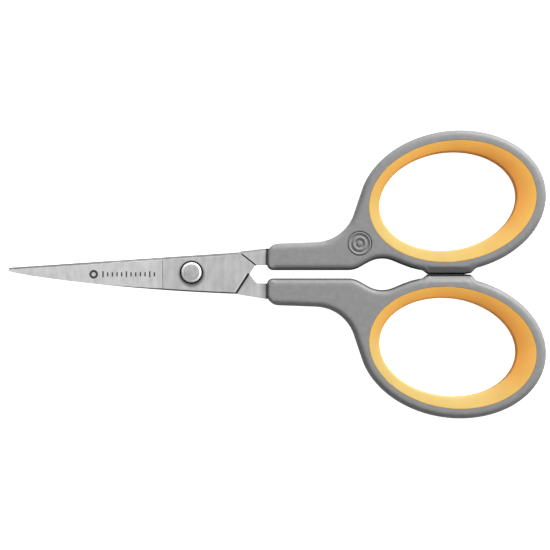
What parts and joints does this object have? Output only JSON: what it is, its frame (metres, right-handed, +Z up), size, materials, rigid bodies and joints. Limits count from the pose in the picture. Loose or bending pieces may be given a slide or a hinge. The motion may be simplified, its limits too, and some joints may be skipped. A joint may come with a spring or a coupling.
{
  "type": "office scissors",
  "caption": "Small pointed office scissors: two riveted steel blades, rigid moulded handles and soft oval finger loops, lying closed.",
  "frame": {"origin": "on the table plane, under the centre of the closed scissors' bounding box", "axes": "+X from the blade tips towards the finger loops, +Y towards the upper handle, +Z up from the table"},
  "size_m": [0.115, 0.0616, 0.0064],
  "materials": {
    "blade_steel": "satin ground stainless steel",
    "rivet_steel": "turned, nearly polished steel",
    "handle_plastic": "fine satin mould texture",
    "grip_rubber": "matt yellow-orange thermoplastic elastomer"
  },
  "bodies": {
    "back_half": {"back_blade": "blade_steel", "lower_handle": "handle_plastic", "lower_grip": "grip_rubber", "pivot_rivet": "rivet_steel", "rivet_washer": "rivet_steel"},
    "front_half": {"front_blade": "blade_steel", "upper_handle": "handle_plastic", "upper_grip": "grip_rubber"}
  },
  "joints": [
    {"name": "blade_pivot", "type": "hinge", "parent": "back_half", "child": "front_half", "pos_m": [-0.0183, 0.0004, 0.0032], "axis": [0, 0, 1], "range_deg": [0, 140]}
  ]
}
